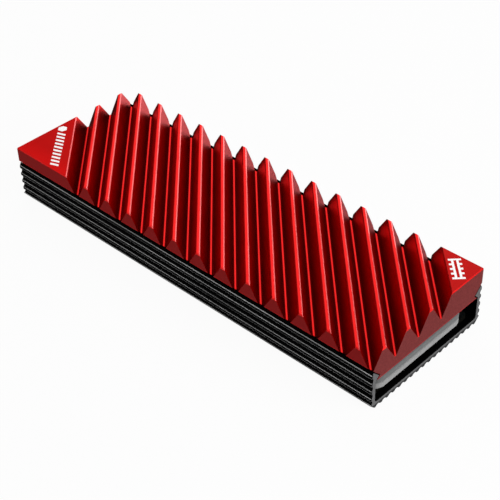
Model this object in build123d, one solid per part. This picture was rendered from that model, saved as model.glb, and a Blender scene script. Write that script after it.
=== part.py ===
from build123d import *
import math
import os

# M.2 solid state drive in its two-piece cooling case. Millimetres, +Z up, +X along the case.
# The origin is under the middle of the whole assembly, on the plane that it stands on.
# The drive's card edge points to -X. The case's open screw end points to +X.

# ---- driving dimensions ----
board_length = 80.0          # size 2280 card
board_width = 22.0
board_thick = 0.8
case_length = 77.0           # covers the card from its tongue's shoulder to past its screw end
case_width = 25.7
case_height = 10.3
board_recess = 1.0           # the screw end of the card sits this far inside the case

# place of the case and of the card along X
overall = board_length + board_recess
case_x1 = overall / 2
case_x0 = case_x1 - case_length
board_x1 = case_x1 - board_recess
board_x0 = board_x1 - board_length
case_mid = (case_x0 + case_x1) / 2
half_w = case_width / 2

# channel section
inner_half = 11.87           # inside face of the side walls
floor_top = 1.16
floor_fillet = 0.5
flute_pitch = 1.39
flute_depth = 0.3
crest_half = 0.22            # half the flat land between two flutes of the underside
crest_round = 0.1
corner_y = 0.95              # the bevel between the bottom and a side
corner_z = 0.98
corner_land = 1.12           # the land above the bevel ends here
bottom_flutes = 17
side_crests = 4
side_pitch = 1.445
side_crest_half = 0.255
first_side_crest = 2.09
lip_line = 5.24              # the lip's upper face is z = y - lip_line
lip_top_y = 12.51
lip_tip_y = 11.2
sawn_edge = 0.08             # edge break round the channel's two ends

# fin block section
slide_gap = 0.14             # vertical gap between the block and the lips
bevel_line = lip_line - slide_gap
neck_y = 11.0
flange_tip_y = 11.75
block_bottom = 5.07
edge_break = 0.16

# diagonal fins
fin_angle = 45.5             # degrees between a fin and the case's length
fin_pitch = 5.145            # along X
fin_land = 0.97              # flat top with its broken edges, along X
groove_flat = 0.34           # flat bottom, along X
groove_depth = 3.25
groove_count = 16
first_groove = -35.985       # where the first groove's line crosses the X axis, from the case's middle

# thermal pads
pad_length = 70.0
pad_width = 20.2
pad_corner = 1.6
pad_y0 = -11.72
pad_gap = 0.02
upper_pad_thick = 1.14
lower_pad_thick = 1.03

# card
label_thick = 0.1
label_width = 20.8
label_margin = 1.0
label_corner = 0.8
board_bottom = floor_top + 0.02 + label_thick
board_top = board_bottom + board_thick
tongue_width = 19.85
tongue_length = 4.0
tongue_chamfer = 0.2
tongue_corner = 0.3
shoulder_r = 0.5
contact_pitch = 0.5
contact_width = 0.35
contact_length = 2.8
contact_inset = 0.55
first_contact = 9.25         # from the card's middle
top_contacts = 38            # places in the row, the ones at the key slot included
bottom_contacts = 37
key_contacts = range(29, 33)
foil = 0.03
key_y = 6.125
key_width = 1.2
key_depth = 3.5
screw_r = 1.75
land_r = 2.75

# printed marks on the two flat corners of the block, from the case's middle
print_thick = 0.02
row_middle = (-33.55, -7.75)
row_turn = -47.0
row_length = 12.2
row_height = 1.45
row_bars = 10
bar_width = 0.48
bar_lean = 0.3
chip_middle = (35.65, 9.95)
chip_turn = -45.0
chip_length = 4.7
chip_width = 1.1
chip_line = 0.34
chip_legs = 5
leg_width = 0.4
leg_length = 0.42

# chip packages: balls, laminate and moulding are stacked on the card
ball_height = 0.2
laminate = 0.2
ball_r = 0.2
package_edge = 0.08
flat_chip_edge = 0.06
ball_rim = 0.5               # from a package's edge to its first row of balls
controller_size = (12.0, 12.0)
memory_size = (7.5, 13.0)
flash_size = (12.0, 18.0)
controller_height = 0.6
memory_height = 0.55
flash_height = 0.7
controller_x = -21.5
memory_x = -9.0
flash_x = (4.5, 19.5)
controller_balls = (1.3, 2.0)    # grid pitch, and half the empty middle
memory_balls = (1.3, 1.0)
flash_balls = (1.6, 2.5)

# leadless chips: middle, plan size and height
power_chip = ((-33.2, 0.6), (4.0, 4.0), 0.85)
load_switch = ((-34.2, 8.6), (2.0, 2.0), 0.6)
boot_flash_chip = ((-25.1, 8.6), (3.0, 2.0), 0.55)
temperature_sensor = ((29.6, 0.0), (1.6, 1.2), 0.5)

# two-terminal parts: plan size, height and end cap
small_ceramic = ((1.0, 0.5), 0.5, 0.25)
large_ceramic = ((1.6, 0.8), 0.7, 0.35)
small_resistor = ((1.0, 0.5), 0.35, 0.2)
tantalum = ((3.2, 1.6), 1.0, 0.5)
capped_middle = 0.94         # the coated middle stands a little lower than the end caps
cap_extra = 0.04             # the caps are this much wider than the middle

# rows of small parts: first spot, step and count
controller_ceramics = ((-26.5, -8.4), (2.0, 0.0), 6)
memory_ceramics_back = ((-12.2, 8.6), (1.6, 0.0), 5)
memory_ceramics_front = ((-12.2, -8.6), (1.6, 0.0), 5)
supply_ceramics = ((-30.6, 3.8), (0.0, 1.7), 4)
between_flash_ceramics = ((12.0, -7.0), (0.0, 2.0), 8)
end_ceramics_front = ((27.6, -9.0), (0.0, 3.0), 3)
end_ceramics_back = ((27.6, 3.0), (0.0, 3.0), 3)
controller_resistors = ((-25.5, -9.9), (2.0, 0.0), 5)
memory_resistors = ((-2.6, -7.5), (0.0, 3.0), 6)
end_resistors_back = ((31.2, 4.2), (0.0, 1.3), 4)
end_resistors_front = ((31.2, -4.2), (0.0, -1.3), 4)
bulk_tantalums = ((34.4, -6.4), (0.0, 12.8), 2)
inductor_row = ((-33.6, -9.0), (0.0, 2.7), 3)
inductor_size = (2.5, 2.0)
inductor_height = 1.0
inductor_edge = 0.12
crystal_spot = (-19.5, 8.4)
crystal_base = ((2.5, 2.0), 0.35)
crystal_lid = ((2.1, 1.6), 0.25)


def box(x0, x1, y0, y1, z0, z1):
    """A plain block between two corners."""
    size = (x1 - x0, y1 - y0, z1 - z0)
    return Pos((x0 + x1) / 2, (y0 + y1) / 2, (z0 + z1) / 2) * Box(*size)


def block_at(x, y, size, z0, height):
    """A block of the given plan size, standing on z0."""
    return Pos(x, y, z0 + height / 2) * Box(size[0], size[1], height)


def along_x(edges, x0, x1):
    """Sweep a closed section, drawn in Y and Z, along the case."""
    face = make_face(edges)
    return extrude(Plane.YZ.offset(x0) * face, amount=x1 - x0)


def chain(points):
    """Straight edges through the points."""
    return [Line(a, b) for a, b in zip(points, points[1:])]


def flute(start, end, inward):
    """A concave arc between two crests, sunk by flute_depth towards inward."""
    mid = ((start[0] + end[0]) / 2 + inward[0] * flute_depth,
           (start[1] + end[1]) / 2 + inward[1] * flute_depth)
    return ThreePointArc(start, mid, end)


def channel_side(sign):
    """The bevel, the fluted outside, the lip and the inside of one wall, down to the floor."""
    edges = [Line((sign * (half_w - corner_y), 0), (sign * half_w, corner_z)),
             Line((sign * half_w, corner_z), (sign * half_w, corner_land))]
    z = corner_land
    for crest in range(side_crests):
        middle = first_side_crest + crest * side_pitch
        foot = middle - side_crest_half
        edges.append(flute((sign * half_w, z), (sign * half_w, foot), (-sign, 0)))
        z = middle + side_crest_half
        edges.append(Line((sign * half_w, foot), (sign * half_w, z)))
    lip_under = bevel_flange_line() + slide_gap
    inside = [(sign * half_w, z),
              (sign * lip_top_y, lip_top_y - lip_line),
              (sign * lip_tip_y, lip_tip_y - lip_line),
              (sign * lip_tip_y, lip_under - lip_tip_y),
              (sign * inner_half, lip_under - inner_half),
              (sign * inner_half, floor_top + floor_fillet)]
    edges += chain(inside)
    bend = floor_fillet * (1 - math.sqrt(0.5))
    edges.append(ThreePointArc((sign * inner_half, floor_top + floor_fillet),
                               (sign * (inner_half - bend), floor_top + bend),
                               (sign * (inner_half - floor_fillet), floor_top)))
    return edges


def bevel_flange_line():
    """The flange's upper face is z = this - y. It meets the bevel at the neck."""
    return 2 * neck_y - bevel_line


def channel_bottom():
    """The fluted underside, from one corner bevel to the other."""
    edges = []
    y = corner_y - half_w
    for crest in range(bottom_flutes):
        middle = (crest - bottom_flutes / 2) * flute_pitch
        land_end = middle + crest_half
        next_land = middle + flute_pitch - crest_half
        edges.append(Line((y, 0), (land_end, 0)))
        edges.append(flute((land_end, 0), (next_land, 0), (0, 1)))
        y = next_land
    edges.append(Line((y, 0), (half_w - corner_y, 0)))
    return edges


def make_base_channel():
    floor_edge = inner_half - floor_fillet
    floor = Line((-floor_edge, floor_top), (floor_edge, floor_top))
    section = make_face(channel_side(1) + channel_side(-1) + channel_bottom() + [floor])
    outside = [v for v in section.vertices() if v.Y < 0.01 or abs(v.X) > half_w - 0.01]
    section = fillet(outside, crest_round)
    channel = extrude(Plane.YZ.offset(case_x0) * section, amount=case_length)
    ends = channel.faces().sort_by(Axis.X)
    return chamfer(ends[0].edges() + ends[-1].edges(), sawn_edge)


def groove(line):
    """The cutter of one groove, whose middle line crosses the X axis this far from the case's middle."""
    turn = math.radians(fin_angle)
    half_bottom = groove_flat * math.sin(turn) / 2
    half_top = (fin_pitch - fin_land) * math.sin(turn) / 2
    z_bottom = case_height - groove_depth
    above = 1.0
    points = [(-half_bottom, z_bottom),
              (half_bottom, z_bottom),
              (half_top, case_height - edge_break),
              (half_top + edge_break, case_height),
              (half_top + edge_break, case_height + above),
              (-half_top - edge_break, case_height + above),
              (-half_top - edge_break, case_height),
              (-half_top, case_height - edge_break),
              (-half_bottom, z_bottom)]
    # the cutter's plane has its X across the groove and its normal along it
    place = Plane(origin=(case_mid + line, 0, 0),
                  x_dir=(math.sin(turn), math.cos(turn), 0),
                  z_dir=(math.cos(turn), -math.sin(turn), 0))
    return extrude(place * make_face(chain(points)), amount=case_width, both=True)


def make_fin_block():
    half = [(0, block_bottom),
            (flange_tip_y, block_bottom),
            (flange_tip_y, bevel_flange_line() - flange_tip_y),
            (neck_y, neck_y - bevel_line),
            (half_w, half_w - bevel_line),
            (half_w, case_height),
            (0, case_height)]
    mirrored = [(-y, z) for y, z in reversed(half)]
    section = half + mirrored[1:]
    block = along_x(chain(section), case_x0, case_x1)
    top = block.faces().sort_by(Axis.Z)[-1]
    corners = block.edges().filter_by(Axis.Z).group_by(SortBy.LENGTH)[-1]
    block = chamfer(top.edges() + corners, edge_break)
    for end, inward in ((case_x0, 1), (case_x1, -1)):
        block -= lower_edge_cut(end, inward * edge_break)
    for number in range(groove_count):
        block -= groove(first_groove + number * fin_pitch)
    return largest(block)


def lower_edge_cut(x, leg):
    """The wedge that breaks the block's lower edge at one end."""
    points = [(x, block_bottom),
              (x + leg, block_bottom),
              (x, block_bottom + abs(leg)),
              (x, block_bottom)]
    wedge = make_face(chain(points))
    return extrude(Plane.XZ * wedge, amount=half_w, both=True)


def largest(shape):
    """The biggest solid of a cut, as one part."""
    return Part(shape.solids().sort_by(SortBy.VOLUME)[-1].wrapped)


def on_corner(flat, middle, turn):
    """Lay a flat mark on the block's top, turned in plan."""
    mark = extrude(flat, amount=print_thick)
    return Pos(case_mid + middle[0], middle[1], case_height) * Rot(0, 0, turn) * mark


def leaning_bar(offset, width, height, lean):
    """One leaning bar of a printed row."""
    points = [(offset - width / 2 - lean, -height / 2),
              (offset + width / 2 - lean, -height / 2),
              (offset + width / 2 + lean, height / 2),
              (offset - width / 2 + lean, height / 2),
              (offset - width / 2 - lean, -height / 2)]
    return make_face(chain(points))


def make_fin_row_print():
    """A hexagon and a row of leaning bars, like the fins beside it."""
    radius = row_height / 2 / math.cos(math.pi / 6)
    marks = [Pos(radius - row_length / 2, 0) * RegularPolygon(radius, 6)]
    last = row_length / 2 - bar_lean - bar_width / 2
    pitch = (last - 3 * radius + row_length / 2) / (row_bars - 1)
    for number in range(row_bars):
        marks.append(leaning_bar(last - number * pitch, bar_width, row_height, bar_lean))
    return [on_corner(mark, row_middle, row_turn) for mark in marks]


def make_chip_print():
    """A chip outline with a row of legs on each side."""
    window = Rectangle(chip_length - 2 * chip_line, chip_width - 2 * chip_line)
    marks = [Rectangle(chip_length, chip_width) - window]
    pitch = (chip_length - leg_width) / (chip_legs - 1)
    for number in range(chip_legs):
        x = number * pitch - (chip_length - leg_width) / 2
        for side in (-1, 1):
            y = side * (chip_width + leg_length) / 2
            marks.append(Pos(x, y) * Rectangle(leg_width, leg_length))
    return [on_corner(mark, chip_middle, chip_turn) for mark in marks]


def make_board():
    """The card: a body, the narrower contact tongue, the key slot and the half-round screw notch."""
    z0 = board_bottom
    z1 = board_top
    through = 5 * board_thick
    body = box(board_x0 + tongue_length, board_x1, -board_width / 2, board_width / 2, z0, z1)
    body = fillet(body.edges().filter_by(Axis.Z), shoulder_r)
    tongue = box(board_x0, board_x0 + tongue_length + 1, -tongue_width / 2, tongue_width / 2, z0, z1)
    corners = tongue.edges().filter_by(Axis.Z).sort_by(Axis.X)[:2]
    tongue = fillet(corners, tongue_corner)
    tip = tongue.faces().sort_by(Axis.X)[0]
    tongue = chamfer(tip.edges().filter_by(Axis.Y), tongue_chamfer)
    board = body + tongue
    slot = box(board_x0 - 1, board_x0 + key_depth - key_width / 2,
               key_y - key_width / 2, key_y + key_width / 2, z0 - 1, z1 + 1)
    slot_end = Pos(board_x0 + key_depth - key_width / 2, key_y, board_top) * Cylinder(key_width / 2, through)
    notch = Pos(board_x1, 0, board_top) * Cylinder(screw_r, through)
    return board - slot - slot_end - notch


def make_contacts(count, start, z0):
    """A row of separate gold fingers. The four at the key slot are missing."""
    fingers = []
    for number in range(count):
        if number in key_contacts:
            continue
        y = start + number * contact_pitch
        x0 = board_x0 + contact_inset
        fingers.append(box(x0, x0 + contact_length, y - contact_width / 2, y + contact_width / 2,
                           z0, z0 + foil))
    return fingers


def make_screw_land(z0):
    """The plated half ring round the screw notch."""
    ring = Pos(board_x1, 0, z0 + foil / 2) * (Cylinder(land_r, foil) - Cylinder(screw_r, foil))
    keep = box(board_x1 - land_r - 1, board_x1, -land_r - 1, land_r + 1, z0 - 1, z0 + 1)
    return ring & keep


def make_package(x, size, height):
    """A moulded package body on its laminate, with broken edges."""
    z0 = board_top + ball_height + laminate
    body = block_at(x, 0, size, z0, height)
    return chamfer(body.faces().sort_by(Axis.Z)[-1].edges(), package_edge)


def make_laminate(x, size):
    return block_at(x, 0, size, board_top + ball_height, laminate)


def make_balls(x, size, pitch, clear_half):
    """Solder balls in a grid, as short posts. The middle of the grid is empty."""
    across = int((size[0] - 2 * ball_rim) / pitch)
    along = int((size[1] - 2 * ball_rim) / pitch)
    balls = []
    for i in range(across + 1):
        for j in range(along + 1):
            dx = (i - across / 2) * pitch
            dy = (j - along / 2) * pitch
            if max(abs(dx), abs(dy)) < clear_half:
                continue
            post = Cylinder(ball_r, ball_height)
            balls.append(Pos(x + dx, dy, board_top + ball_height / 2) * post)
    return balls


def row(start, step, count):
    """The spots of a straight row."""
    return [(start[0] + step[0] * k, start[1] + step[1] * k) for k in range(count)]


def make_capped(spot, kind):
    """A two-terminal part: a body between two end caps, as one piece."""
    size, height, cap = kind
    x, y = spot
    cap_width = size[1] + cap_extra
    piece = block_at(x, y, (size[0] - 2 * cap, size[1]), board_top, height * capped_middle)
    for side in (-1, 1):
        piece += block_at(x + side * (size[0] - cap) / 2, y, (cap, cap_width), board_top, height)
    return piece


def capped_row(layout, kind, turned=False):
    """A row of two-terminal parts, turned if their caps face the card's long edges."""
    parts = []
    for x, y in row(*layout):
        part = make_capped((0, 0), kind)
        parts.append(Pos(x, y) * Rot(0, 0, 90 if turned else 0) * part)
    return parts


def make_ceramic_capacitors():
    """Decoupling capacitors, in rows beside the chips that they serve."""
    parts = capped_row(controller_ceramics, small_ceramic)
    parts += capped_row(memory_ceramics_back, small_ceramic)
    parts += capped_row(memory_ceramics_front, small_ceramic)
    parts += capped_row(between_flash_ceramics, small_ceramic, turned=True)
    parts += capped_row(end_ceramics_front, large_ceramic, turned=True)
    parts += capped_row(end_ceramics_back, large_ceramic, turned=True)
    parts += capped_row(supply_ceramics, large_ceramic)
    return parts


def make_chip_resistors():
    parts = capped_row(controller_resistors, small_resistor)
    parts += capped_row(memory_resistors, small_resistor, turned=True)
    parts += capped_row(end_resistors_back, small_resistor)
    parts += capped_row(end_resistors_front, small_resistor)
    return parts


def make_tantalum_capacitors():
    return capped_row(bulk_tantalums, tantalum)


def make_power_inductors():
    """Square moulded coils of the three supply rails."""
    coils = []
    for x, y in row(*inductor_row):
        coil = block_at(x, y, inductor_size, board_top, inductor_height)
        coils.append(chamfer(coil.faces().sort_by(Axis.Z)[-1].edges(), inductor_edge))
    return coils


def make_flat_chip(spot, size, height):
    """A leadless moulded chip with broken top edges."""
    body = block_at(*spot, size, board_top, height)
    return chamfer(body.faces().sort_by(Axis.Z)[-1].edges(), flat_chip_edge)


def make_crystal():
    """A metal-lidded crystal: a ceramic base with a smaller lid."""
    base_size, base_height = crystal_base
    lid_size, lid_height = crystal_lid
    base = block_at(*crystal_spot, base_size, board_top, base_height)
    lid = block_at(*crystal_spot, lid_size, board_top + base_height, lid_height)
    return base + lid


def make_rear_label():
    """The insulating label under the card, short of the tongue and of the screw land."""
    x0 = board_x0 + tongue_length + label_margin
    x1 = board_x1 - land_r - label_margin
    half = label_width / 2
    label = box(x0, x1, -half, half, board_bottom - label_thick, board_bottom)
    return fillet(label.edges().filter_by(Axis.Z), label_corner)


def make_pad(z0, thick):
    pad = box(case_x1 - pad_length, case_x1, pad_y0, pad_y0 + pad_width, z0, z0 + thick)
    return fillet(pad.edges().filter_by(Axis.Z), pad_corner)


def press_into(pad, groups):
    """The hollows that the tall parts under a soft pad press into it."""
    for shapes in groups:
        for shape in shapes:
            top = shape.bounding_box()
            pad -= box(top.min.X, top.max.X, top.min.Y, top.max.Y, board_top, top.max.Z)
    return largest(pad)


def collect():
    """Every node with its list of solids."""
    nodes = {}
    nodes["base_channel"] = [make_base_channel()]
    nodes["fin_block"] = [make_fin_block()]
    nodes["fin_row_print"] = make_fin_row_print()
    nodes["chip_print"] = make_chip_print()
    nodes["circuit_board"] = [make_board()]
    first_top = -first_contact
    first_bottom = contact_pitch / 2 - first_contact
    nodes["edge_contacts_top"] = make_contacts(top_contacts, first_top, board_top)
    nodes["edge_contacts_bottom"] = make_contacts(bottom_contacts, first_bottom, board_bottom - foil)
    nodes["screw_land_top"] = [make_screw_land(board_top)]
    nodes["screw_land_bottom"] = [make_screw_land(board_bottom - foil)]
    nodes["controller_solder_balls"] = make_balls(controller_x, controller_size, *controller_balls)
    nodes["controller_substrate"] = [make_laminate(controller_x, controller_size)]
    nodes["controller_package"] = [make_package(controller_x, controller_size, controller_height)]
    nodes["memory_solder_balls"] = make_balls(memory_x, memory_size, *memory_balls)
    nodes["memory_substrate"] = [make_laminate(memory_x, memory_size)]
    nodes["memory_package"] = [make_package(memory_x, memory_size, memory_height)]
    for number, x in enumerate(flash_x, 1):
        nodes[f"flash_solder_balls_{number}"] = make_balls(x, flash_size, *flash_balls)
        nodes[f"flash_substrate_{number}"] = [make_laminate(x, flash_size)]
        nodes[f"flash_package_{number}"] = [make_package(x, flash_size, flash_height)]
    nodes["power_chip"] = [make_flat_chip(*power_chip)]
    nodes["load_switch"] = [make_flat_chip(*load_switch)]
    nodes["boot_flash_chip"] = [make_flat_chip(*boot_flash_chip)]
    nodes["temperature_sensor"] = [make_flat_chip(*temperature_sensor)]
    nodes["power_inductors"] = make_power_inductors()
    nodes["tantalum_capacitors"] = make_tantalum_capacitors()
    nodes["ceramic_capacitors"] = make_ceramic_capacitors()
    nodes["chip_resistors"] = make_chip_resistors()
    nodes["crystal"] = [make_crystal()]
    nodes["rear_label"] = [make_rear_label()]

    upper_z = block_bottom - pad_gap - upper_pad_thick
    lower_z = upper_z - lower_pad_thick
    tall = [nodes[name] for name in ("controller_package", "memory_package", "flash_package_1",
                                     "flash_package_2", "power_chip", "power_inductors",
                                     "tantalum_capacitors")]
    nodes["upper_thermal_pad"] = [make_pad(upper_z, upper_pad_thick)]
    nodes["lower_thermal_pad"] = [press_into(make_pad(lower_z, lower_pad_thick), tall)]
    return nodes


def write(nodes):
    """One STEP file for each node."""
    os.makedirs("parts", exist_ok=True)
    for name, shapes in nodes.items():
        solids = []
        for shape in shapes:
            solids += list(shape.solids())
        shape = solids[0] if len(solids) == 1 else Compound(children=solids)
        shape.label = name
        export_step(shape, f"parts/{name}.step")


write(collect())
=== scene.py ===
import math

import bpy
from mathutils import Matrix, Vector


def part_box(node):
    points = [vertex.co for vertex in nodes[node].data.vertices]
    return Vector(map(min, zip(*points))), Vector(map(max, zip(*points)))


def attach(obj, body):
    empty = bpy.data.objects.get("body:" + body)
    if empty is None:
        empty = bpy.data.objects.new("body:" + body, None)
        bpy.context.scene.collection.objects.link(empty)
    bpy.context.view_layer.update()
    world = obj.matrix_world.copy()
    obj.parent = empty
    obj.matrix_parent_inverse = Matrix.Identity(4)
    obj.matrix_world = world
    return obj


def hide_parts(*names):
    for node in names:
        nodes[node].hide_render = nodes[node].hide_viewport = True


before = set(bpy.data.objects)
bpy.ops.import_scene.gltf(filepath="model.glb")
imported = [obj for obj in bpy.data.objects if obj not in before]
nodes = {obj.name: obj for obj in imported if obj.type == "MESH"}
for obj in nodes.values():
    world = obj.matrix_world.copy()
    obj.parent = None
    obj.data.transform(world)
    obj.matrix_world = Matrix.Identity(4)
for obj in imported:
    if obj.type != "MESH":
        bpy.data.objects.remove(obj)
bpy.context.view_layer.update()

MM = 0.001
CASE_LOW, CASE_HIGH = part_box("base_channel")
BLOCK_LOW, BLOCK_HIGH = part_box("fin_block")
CASE_MID = (CASE_LOW + CASE_HIGH) / 2

# lines of the finned block
TOP = BLOCK_HIGH.z
SIDE_FOOT = TOP - 2.55 * MM              # the lower edge of its two long sides
GROOVE_FLOOR = TOP - 3.25 * MM
FIN_SLOPE = 1 / math.tan(math.radians(45.5))
FINS_FROM = CASE_MID.x - 36.0 * MM       # the finned band, measured across the fins along X
FINS_TO = CASE_MID.x + 43.4 * MM

# the channel's long outer sides, and where its floor's sawn end turns lighter
CREST_LINE = CASE_HIGH.y - 0.07 * MM
RIM_TOP = CASE_LOW.z + 0.60 * MM


# ---------------------------------------------------------------- shader helpers

class Shader:
    """A material under construction, with short calls for the nodes used here."""

    def __init__(self, name):
        self.material = bpy.data.materials.new(name)
        self.material.use_nodes = True
        self.tree = self.material.node_tree
        self.surface = self.tree.nodes["Principled BSDF"]
        self.coords = self.add("ShaderNodeTexCoord").outputs["Object"]

    def add(self, kind, **values):
        node = self.tree.nodes.new(kind)
        for key, value in values.items():
            setattr(node, key, value)
        return node

    def link(self, output, socket):
        self.tree.links.new(output, socket)

    def set(self, **values):
        """Constants on the shader's own sockets."""
        for key, value in values.items():
            self.surface.inputs[key.replace("_", " ")].default_value = value

    def feed(self, name, output):
        self.link(output, self.surface.inputs[name])

    def math(self, operation, a, b=0.0):
        node = self.add("ShaderNodeMath", operation=operation)
        for socket, value in zip(node.inputs, (a, b)):
            if isinstance(value, (int, float)):
                socket.default_value = value
            else:
                self.link(value, socket)
        return node.outputs[0]

    def equal(self, value, target, slack):
        """1 where the value is within slack of the target, and 0 elsewhere."""
        node = self.add("ShaderNodeMath", operation="COMPARE")
        self.link(value, node.inputs[0])
        node.inputs[1].default_value = target
        node.inputs[2].default_value = slack
        return node.outputs[0]

    def axes(self, output=None):
        """The x, y and z of a vector, the object coordinates if none is given."""
        node = self.add("ShaderNodeSeparateXYZ")
        self.link(output or self.coords, node.inputs[0])
        return node.outputs

    def normal(self):
        """The face's own direction in the object's frame."""
        return self.axes(self.add("ShaderNodeTexCoord").outputs["Normal"])

    def stretched(self, scale):
        """The object coordinates, scaled along each axis."""
        node = self.add("ShaderNodeMapping")
        node.inputs["Scale"].default_value = scale
        self.link(self.coords, node.inputs["Vector"])
        return node.outputs[0]

    def noise(self, scale, detail=3.0, roughness=0.5, vector=None):
        """Noise with features of about 1 / scale metres."""
        node = self.add("ShaderNodeTexNoise")
        node.inputs["Scale"].default_value = scale
        node.inputs["Detail"].default_value = detail
        node.inputs["Roughness"].default_value = roughness
        self.link(vector or self.coords, node.inputs["Vector"])
        return node.outputs["Fac"]

    def ramp(self, value, low, high, to_low=0.0, to_high=1.0):
        """Maps low..high to to_low..to_high, held at the ends."""
        node = self.add("ShaderNodeMapRange")
        self.link(value, node.inputs["Value"])
        for name, number in zip(("From Min", "From Max", "To Min", "To Max"), (low, high, to_low, to_high)):
            node.inputs[name].default_value = number
        return node.outputs[0]

    def mix(self, factor, a, b):
        """A blend of two colours, each a value or a socket."""
        node = self.add("ShaderNodeMix", data_type="RGBA")
        self.link(factor, node.inputs["Factor"])
        for name, value in (("A", a), ("B", b)):
            socket = next(s for s in node.inputs if s.name == name and s.type == "RGBA")
            if isinstance(value, tuple):
                socket.default_value = (*value, 1.0)
            else:
                self.link(value, socket)
        return next(s for s in node.outputs if s.type == "RGBA")

    def bump(self, height, strength, distance):
        node = self.add("ShaderNodeBump")
        node.inputs["Strength"].default_value = strength
        node.inputs["Distance"].default_value = distance
        self.link(height, node.inputs["Height"])
        self.feed("Normal", node.outputs[0])


def wear(material, *names):
    """Gives a CAD node its finish, through the object's own slots."""
    for name in names:
        for slot in nodes[name].material_slots:
            slot.link = "OBJECT"
            slot.material = material


# ---------------------------------------------------------------- materials

def red_anodised():
    """Red anodised aluminium: bright fins with painted shade down their slopes, painted highlights on the
    crests, edges and feet, a painted pale reflection at the slopes' back ends, and matt sawn sides and
    ends.
    """
    s = Shader("red_anodised")
    grain = s.noise(9000, 2.0)
    coarse = s.noise(5200, 3.0, 0.6)
    cloud = s.noise(140, 4.0)
    nx, ny, nz = s.normal()
    x, y, z = s.axes()

    # where each kind of surface is, told by its place and by the way that it faces
    across = s.math("ADD", x, s.math("MULTIPLY", y, FIN_SLOPE))
    past_first = s.math("GREATER_THAN", across, FINS_FROM)
    finned = s.math("MULTIPLY", past_first, s.math("LESS_THAN", across, FINS_TO))
    level = s.math("GREATER_THAN", nz, 0.9)
    edge = s.equal(nz, math.cos(math.radians(45)), 0.06)        # the broken edges of the fins' tops
    rightward = s.math("GREATER_THAN", s.math("MINIMUM", nx, ny), 0.2)
    right_edge = s.math("MULTIPLY", edge, rightward)
    # a painted pale reflection on the slopes' open back ends: wedges that are longer towards the crest
    rise = s.math("MULTIPLY", s.math("SUBTRACT", z, GROOVE_FLOOR), 1.23)
    inset = s.math("SUBTRACT", s.math("SUBTRACT", CASE_HIGH.y, y), rise)
    painted_back_reflection = s.math("MULTIPLY", rightward, s.ramp(inset, 1.2 * MM, 0.4 * MM))
    side = s.math("GREATER_THAN", s.math("ABSOLUTE", ny), 0.95)
    end = s.math("GREATER_THAN", s.math("ABSOLUTE", nx), 0.95)
    matt = s.math("MAXIMUM", side, end)

    # the colours
    tone = s.ramp(cloud, 0.3, 0.7)
    speck = s.ramp(coarse, 0.35, 0.65)
    # painted shade: the slopes darken from near the crest down to the groove floor, and lighten towards the
    # crest
    height = s.ramp(z, TOP - 3.2 * MM, TOP - 0.2 * MM)
    painted_groove_shade = s.mix(tone, (0.17, 0.0005, 0.0005), (0.20, 0.0006, 0.0006))
    high = s.mix(tone, (0.90, 0.0020, 0.0020), (0.97, 0.0030, 0.0030))
    # painted light: the top flats get brighter towards the right end and near the front of the left end
    plain = s.mix(s.ramp(x, CASE_LOW.x, CASE_HIGH.x), (0.515, 0.0022, 0.0018), (0.550, 0.0120, 0.0110))
    plain = s.mix(s.ramp(cloud, 0.3, 0.7, 0.0, 0.12), plain, (0.62, 0.0060, 0.0055))
    painted_front_light = s.ramp(y, CASE_LOW.y + 3.5 * MM, CASE_LOW.y)
    plain = s.mix(s.math("MULTIPLY", painted_front_light, s.math("LESS_THAN", x, 0.0)), plain, (0.66, 0.0032, 0.0030))
    painted_crest_highlight = s.mix(tone, (0.93, 0.020, 0.019), (0.99, 0.024, 0.023))
    painted_edge_glint = s.mix(tone, (0.95, 0.20, 0.20), (0.99, 0.23, 0.23))
    side_skin = s.mix(speck, (0.278, 0.0036, 0.0036), (0.318, 0.0054, 0.0054))
    end_skin = s.mix(speck, (0.165, 0.0250, 0.0245), (0.228, 0.0385, 0.0375))
    colour = s.mix(painted_back_reflection, s.mix(height, painted_groove_shade, high), (0.52, 0.066, 0.070))
    colour = s.mix(level, colour, plain)
    # painted highlight: the flats in the finned band and the broken edges take a brighter red
    colour = s.mix(s.math("MAXIMUM", edge, s.math("MULTIPLY", level, finned)), colour, painted_crest_highlight)
    # painted reflection: the rightward broken edges take a pale pink glint
    colour = s.mix(right_edge, colour, painted_edge_glint)
    painted_side_foot_highlight = s.math("LESS_THAN", z, SIDE_FOOT + 0.15 * MM)         # a painted highlight line along the sides' foot
    side_skin = s.mix(painted_side_foot_highlight, side_skin, (0.46, 0.0075, 0.0075))
    painted_end_foot_highlight = s.math("LESS_THAN", z, BLOCK_LOW.z + 0.32 * MM)      # and a painted highlight line along the ends' foot
    end_skin = s.mix(painted_end_foot_highlight, end_skin, (0.34, 0.030, 0.033))
    colour = s.mix(side, colour, side_skin)
    s.feed("Base Color", s.mix(end, colour, end_skin))
    s.feed("Metallic", s.math("SUBTRACT", 1.0, matt))
    s.feed("Specular IOR Level", s.ramp(matt, 0.0, 1.0, 0.5, 0.12))
    s.set(Specular_Tint=(1.0, 0.65, 0.65, 1.0))
    smooth = s.ramp(grain, 0.2, 0.8, 0.34, 0.44)
    s.feed("Roughness", s.math("ADD", smooth, s.math("MULTIPLY", matt, 0.3)))
    s.bump(grain, 0.25, 0.02 * MM)
    return s.material


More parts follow.
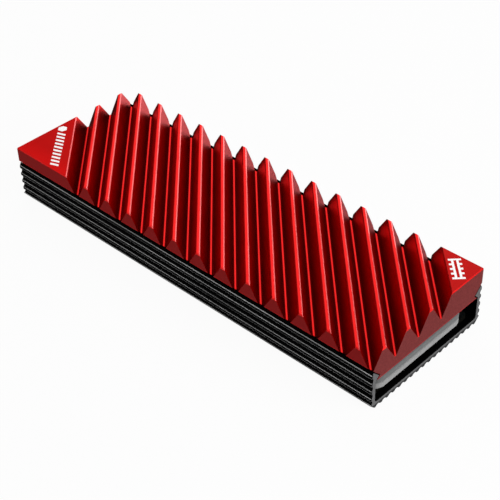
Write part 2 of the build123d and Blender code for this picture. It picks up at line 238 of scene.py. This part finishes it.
def black_anodised():
    """Black anodised extrusion: painted highlight lines along the flute crests, and sawn ends that show
    lighter metal.
    """
    s = Shader("black_anodised")
    lines = s.noise(1.0, 3.0, vector=s.stretched((60, 14000, 14000)))
    grain = s.noise(8000, 2.0)
    nx, _, nz = s.normal()
    _, y, z = s.axes()
    out = s.math("ABSOLUTE", y)
    crest = s.math("GREATER_THAN", out, CREST_LINE)
    # painted highlights: a bright line on the crests' upward rounds and a dimmer line on their downward
    # rounds
    upper = s.math("MULTIPLY", crest, s.ramp(nz, 0.15, 0.35))
    lower = s.math("MULTIPLY", crest, s.ramp(nz, -0.05, -0.20))
    sawn = s.math("GREATER_THAN", s.math("ABSOLUTE", nx), 0.9)
    wall = s.math("MULTIPLY", s.ramp(z, RIM_TOP, RIM_TOP + 0.16 * MM),
                  s.ramp(out, CASE_HIGH.y - 0.18 * MM, CASE_HIGH.y - 0.34 * MM))
    skin = s.mix(s.ramp(lines, 0.3, 0.7), (0.0005, 0.0005, 0.0006), (0.0012, 0.0012, 0.0013))
    land = s.mix(s.ramp(lines, 0.3, 0.7), (0.0040, 0.0040, 0.0042), (0.0110, 0.0110, 0.0112))
    skin = s.mix(crest, skin, land)
    highlight_streaks = s.ramp(lines, 0.25, 0.75)
    # the painted highlight lines, streaked along the extrusion lines
    skin = s.mix(s.math("MULTIPLY", upper, highlight_streaks), skin, (0.92, 0.92, 0.92))
    skin = s.mix(s.math("MULTIPLY", lower, highlight_streaks), skin, (0.60, 0.60, 0.60))
    cut = s.mix(s.ramp(grain, 0.3, 0.7), (0.125, 0.125, 0.127), (0.175, 0.175, 0.177))
    cut = s.mix(wall, (0.045, 0.045, 0.046), cut)
    s.feed("Base Color", s.mix(sawn, skin, cut))
    s.feed("Specular IOR Level", s.ramp(upper, 0.0, 1.0, 0.05, 1.0))
    s.feed("Roughness", s.ramp(lines, 0.2, 0.8, 0.28, 0.40))
    s.bump(lines, 0.2, 0.01 * MM)
    return s.material


def silicone(name, dark, light):
    """A thermal pad: soft silicone with mineral filler specks."""
    s = Shader(name)
    filler = s.noise(5200, 5.0, 0.7)
    broad = s.noise(260, 3.0)
    s.feed("Base Color", s.mix(s.ramp(filler, 0.35, 0.68), dark, light))
    s.feed("Roughness", s.ramp(broad, 0.3, 0.7, 0.6, 0.78))
    s.set(Specular_IOR_Level=0.35, Sheen_Weight=0.15, Sheen_Roughness=0.6)
    s.bump(filler, 0.35, 0.03 * MM)
    return s.material


def white_ink():
    """Opaque white print and label film, matt, and very bright through a painted glow."""
    s = Shader("white_ink")
    fibre = s.noise(7000, 4.0)
    s.feed("Base Color", s.mix(s.ramp(fibre, 0.3, 0.7), (0.86, 0.86, 0.86), (0.95, 0.95, 0.95)))
    s.feed("Roughness", s.ramp(fibre, 0.3, 0.7, 0.45, 0.6))
    # painted glow: the ink emits a little light of its own
    s.set(Emission_Color=(1.0, 1.0, 1.0, 1.0), Emission_Strength=0.45)
    s.bump(fibre, 0.15, 0.01 * MM)
    return s.material


def solder_mask():
    """Matte black mask with faint tracks under it, over a woven glass edge."""
    s = Shader("solder_mask")
    tracks = s.add("ShaderNodeTexWave", bands_direction="DIAGONAL")
    tracks.inputs["Scale"].default_value = 900
    tracks.inputs["Distortion"].default_value = 6
    tracks.inputs["Detail"].default_value = 1
    s.link(s.coords, tracks.inputs["Vector"])
    lanes = s.ramp(tracks.outputs["Fac"], 0.45, 0.55)
    weave = s.noise(2500, 3.0)
    face = s.math("ABSOLUTE", s.normal()[2])
    edge = s.math("LESS_THAN", face, 0.5)
    mask = s.mix(lanes, (0.0045, 0.0050, 0.0048), (0.0085, 0.0095, 0.0090))
    core = s.mix(weave, (0.0030, 0.0028, 0.0022), (0.0060, 0.0056, 0.0045))
    s.feed("Base Color", s.mix(edge, mask, core))
    s.feed("Roughness", s.ramp(weave, 0.3, 0.7, 0.42, 0.58))
    s.feed("Specular IOR Level", s.ramp(edge, 0.0, 1.0, 0.22, 0.08))
    s.bump(lanes, 0.3, 0.02 * MM)
    return s.material


def metal(name, colour, rough):
    """Bare or plated metal with a fine grain."""
    s = Shader(name)
    grain = s.noise(6000, 3.0)
    darker = tuple(c * 0.8 for c in colour)
    s.feed("Base Color", s.mix(s.ramp(grain, 0.3, 0.7), darker, colour))
    s.feed("Roughness", s.ramp(grain, 0.2, 0.8, rough - 0.06, rough + 0.08))
    s.set(Metallic=1.0)
    s.bump(grain, 0.15, 0.008 * MM)
    return s.material


def moulding(name, colour, rough=0.55):
    """Moulded epoxy or pressed ceramic: fine pitted grain and a slow change of tone."""
    s = Shader(name)
    grain = s.noise(7000, 4.0, 0.6)
    cloud = s.noise(500, 2.0)
    lighter = tuple(c * 1.5 + 0.002 for c in colour)
    s.feed("Base Color", s.mix(s.ramp(cloud, 0.3, 0.7), colour, lighter))
    s.feed("Roughness", s.ramp(grain, 0.3, 0.7, rough - 0.08, rough + 0.1))
    s.bump(grain, 0.3, 0.015 * MM)
    return s.material


def capped(name, body, box_name):
    """A two-terminal part: tinned where the piece is taller than its coated middle."""
    cap_share = 0.945
    tinned = (0.62, 0.62, 0.60)
    s = Shader(name)
    grain = s.noise(6000, 3.0)
    low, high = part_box(box_name)
    z = s.axes()[2]
    cut = low.z + (high.z - low.z) * cap_share
    tin = s.math("GREATER_THAN", z, cut)
    shade = s.mix(s.ramp(grain, 0.3, 0.7), body, tuple(c * 1.3 for c in body))
    s.feed("Base Color", s.mix(tin, shade, tinned))
    s.feed("Metallic", tin)
    s.feed("Roughness", s.ramp(grain, 0.2, 0.8, 0.35, 0.55))
    s.bump(grain, 0.2, 0.01 * MM)
    return s.material


def dress():
    """Every CAD node that stays visible gets its finish."""
    wear(red_anodised(), "fin_block")
    wear(black_anodised(), "base_channel")
    wear(white_ink(), "fin_row_print", "chip_print", "rear_label")
    wear(solder_mask(), "circuit_board")
    wear(metal("gold_plate", (0.93, 0.66, 0.26), 0.28),
         "edge_contacts_top", "edge_contacts_bottom", "screw_land_top", "screw_land_bottom")
    wear(metal("solder", (0.70, 0.70, 0.72), 0.35),
         *[name for name in nodes if "solder_balls" in name])
    wear(moulding("package_laminate", (0.020, 0.055, 0.030)),
         *[name for name in nodes if "substrate" in name])
    wear(moulding("epoxy", (0.018, 0.018, 0.019)),
         "controller_package", "memory_package", "flash_package_1", "flash_package_2",
         "power_chip", "load_switch", "boot_flash_chip", "temperature_sensor")
    wear(moulding("ferrite", (0.065, 0.065, 0.070), 0.5), "power_inductors")
    wear(capped("tantalum", (0.42, 0.20, 0.03), "tantalum_capacitors"), "tantalum_capacitors")
    wear(capped("ceramic", (0.30, 0.20, 0.11), "ceramic_capacitors"), "ceramic_capacitors")
    wear(capped("resistor", (0.020, 0.020, 0.022), "chip_resistors"), "chip_resistors")
    wear(metal("crystal_lid", (0.72, 0.71, 0.68), 0.25), "crystal")


# ---------------------------------------------------------------- thermal pads

def make_pad(name, material):
    """A soft pad grown from its CAD solid: remeshed, with its edges slumped round."""
    source = nodes[name]
    mesh = source.data.copy()
    pad = bpy.data.objects.new("soft_" + name, mesh)
    bpy.context.scene.collection.objects.link(pad)
    mesh.transform(source.matrix_world)
    remesh = pad.modifiers.new("remesh", "REMESH")
    remesh.mode = "VOXEL"
    remesh.voxel_size = 0.16 * MM
    smooth = pad.modifiers.new("slump", "CORRECTIVE_SMOOTH")
    smooth.iterations = 3
    smooth.use_only_smooth = True
    smooth.rest_source = "ORCO"
    applied = bpy.data.meshes.new_from_object(pad.evaluated_get(bpy.context.evaluated_depsgraph_get()))
    pad.modifiers.clear()
    pad.data = applied
    applied.polygons.foreach_set("use_smooth", [True] * len(applied.polygons))
    applied.materials.clear()
    applied.materials.append(material)
    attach(pad, "drive")
    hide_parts(name)


# ---------------------------------------------------------------- stage

def make_floor():
    """A plain pale floor that glows softly and stays out of reflections."""
    bpy.ops.mesh.primitive_plane_add(size=6.0, location=(0, 0, CASE_LOW.z - 0.02 * MM))
    floor = bpy.context.object
    floor.name = "floor"
    s = Shader("floor")
    s.set(Base_Color=(0.06, 0.06, 0.06, 1.0), Roughness=0.9, Specular_IOR_Level=0.0,
          Emission_Color=(1.0, 1.0, 1.0, 1.0), Emission_Strength=0.95)
    floor.data.materials.append(s.material)
    floor.visible_glossy = False
    floor.visible_shadow = False


def add_softbox(name, direction, distance, size, radiance):
    """A white softbox that lights the case from the given direction, at a distance in metres."""
    light = bpy.data.lights.new(name, "AREA")
    light.shape = "RECTANGLE"
    light.size, light.size_y = size
    light.energy = radiance * math.pi * size[0] * size[1]
    lamp = bpy.data.objects.new(name, light)
    bpy.context.scene.collection.objects.link(lamp)
    towards = Vector(direction).normalized()
    lamp.location = CASE_MID + towards * distance
    lamp.rotation_euler = (-towards).to_track_quat("-Z", "Y").to_euler()


def make_lights():
    """Soft boxes over, behind and before the case."""
    add_softbox("key_back", (-0.52, 0.58, 0.630), 0.45, (0.36, 0.36), 1.28)
    add_softbox("overhead", (0.0, 0.0, 1.0), 0.45, (0.20, 0.20), 0.8)
    add_softbox("rim_back", (-0.12, 0.99, 0.0), 0.40, (0.30, 0.16), 2.9)
    add_softbox("back_low", (-0.25, 0.86, -0.44), 0.40, (0.40, 0.20), 0.22)
    add_softbox("front_high", (-0.555, -0.62, 0.56), 0.45, (0.22, 0.22), 1.15)
    add_softbox("right_high", (0.62, 0.56, 0.55), 0.45, (0.16, 0.16), 1.0)
    add_softbox("right_fill", (0.85, 0.10, 0.50), 0.40, (0.30, 0.30), 3.5)


def make_room():
    """A dim room for the reflections, which the camera sees as a white backdrop."""
    world = bpy.data.worlds.new("studio")
    world.use_nodes = True
    tree = world.node_tree
    ambient = tree.nodes["Background"]
    ambient.inputs["Color"].default_value = (1.0, 1.0, 1.0, 1.0)
    ambient.inputs["Strength"].default_value = 0.03
    backdrop = tree.nodes.new("ShaderNodeBackground")
    backdrop.inputs["Strength"].default_value = 0.98
    backdrop.inputs["Color"].default_value = (1.0, 1.0, 1.0, 1.0)
    path = tree.nodes.new("ShaderNodeLightPath")
    blend = tree.nodes.new("ShaderNodeMixShader")
    tree.links.new(path.outputs["Is Camera Ray"], blend.inputs[0])
    tree.links.new(ambient.outputs[0], blend.inputs[1])
    tree.links.new(backdrop.outputs[0], blend.inputs[2])
    tree.links.new(blend.outputs[0], tree.nodes["World Output"].inputs["Surface"])
    bpy.context.scene.world = world


def make_camera():
    """A long lens above the case's front right corner, looking along the fins."""
    data = bpy.data.cameras.new("camera")
    camera = bpy.data.objects.new("camera", data)
    bpy.context.scene.collection.objects.link(camera)
    data.sensor_width = 36.0
    data.lens = 90.14
    data.clip_start = 0.01
    data.clip_end = 20.0
    eye = Vector((115.443, -111.518, 126.184)) * MM
    target = Vector((12.088, -6.906, 10.329)) * MM
    roll = math.radians(-1.855)
    aim = (target - eye).to_track_quat("-Z", "Y").to_matrix().to_4x4()
    camera.matrix_world = Matrix.Translation(eye) @ aim @ Matrix.Rotation(roll, 4, "Z")
    bpy.context.scene.camera = camera


dress()
make_pad("upper_thermal_pad", silicone("dark_pad", (0.118, 0.122, 0.122), (0.168, 0.173, 0.173)))
make_pad("lower_thermal_pad", silicone("light_pad", (0.265, 0.265, 0.265), (0.375, 0.375, 0.375)))
make_floor()
make_lights()
make_room()
make_camera()
bpy.context.scene.view_settings.view_transform = "Standard"
